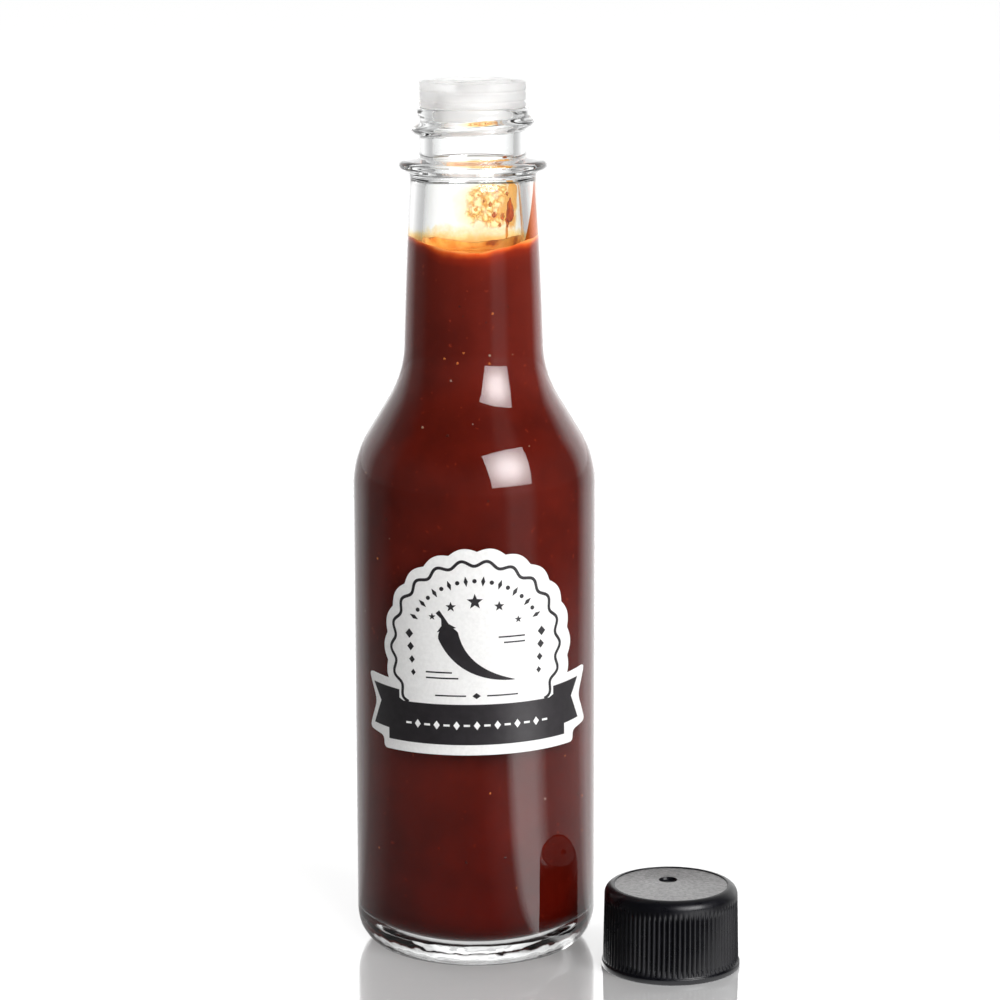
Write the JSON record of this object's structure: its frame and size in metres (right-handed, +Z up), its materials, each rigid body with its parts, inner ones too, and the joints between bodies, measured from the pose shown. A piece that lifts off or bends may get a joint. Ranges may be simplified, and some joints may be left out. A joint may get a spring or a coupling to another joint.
{
  "type": "glass sauce bottle",
  "caption": "Filled clear glass sauce bottle with a threaded neck, a dripper insert and a wrapped label; its ribbed screw cap stands beside it.",
  "frame": {"origin": "on the surface that bottle and cap stand on, at the middle of their joint footprint", "axes": "+Z up along the bottle, -Y towards the front, where the label is; the cap stands at +X, a little forward"},
  "size_m": [0.0748, 0.0546, 0.17],
  "materials": {
    "clear_glass": "clear, smooth",
    "sauce": "dark red sauce, wet",
    "milky_plastic": "milky, translucent",
    "label_paper": "white paper with dark print, satin",
    "black_plastic": "black, satin skirt and matte top"
  },
  "bodies": {
    "root": {"glass_bottle": "clear_glass", "chilli_sauce": "sauce", "dripper_insert": "milky_plastic", "paper_label": "label_paper", "screw_cap": "black_plastic"}
  },
  "joints": []
}
